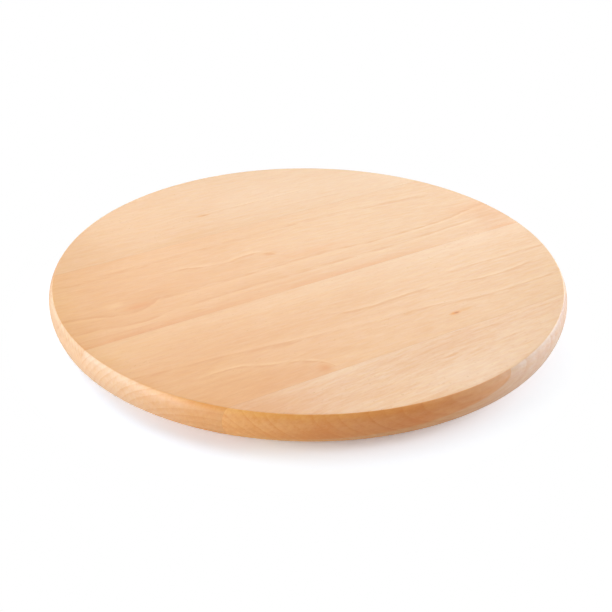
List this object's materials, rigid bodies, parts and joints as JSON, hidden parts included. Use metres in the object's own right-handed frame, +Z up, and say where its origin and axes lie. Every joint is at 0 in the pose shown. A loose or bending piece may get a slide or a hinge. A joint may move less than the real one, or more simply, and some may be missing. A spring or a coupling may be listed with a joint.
{
  "type": "pizza board",
  "caption": "Round wooden serving board for pizza, glued up from parallel staves, with a swelling turned rim and an undercut edge.",
  "frame": {"origin": "centre of the flat underside, which is the bottom centre of the bounding box", "axes": "+Z up out of the serving face, +X along the grain and the glue joints, +Y across the staves from the front one to the back one"},
  "size_m": [0.32, 0.32, 0.03],
  "materials": {
    "stave_1_wood": "oiled beech, satin",
    "stave_2_wood": "oiled beech, satin",
    "stave_3_wood": "oiled beech, satin",
    "stave_4_wood": "oiled beech, satin"
  },
  "bodies": {
    "root": {"stave_1": "stave_1_wood", "stave_2": "stave_2_wood", "stave_3": "stave_3_wood", "stave_4": "stave_4_wood"}
  },
  "joints": []
}
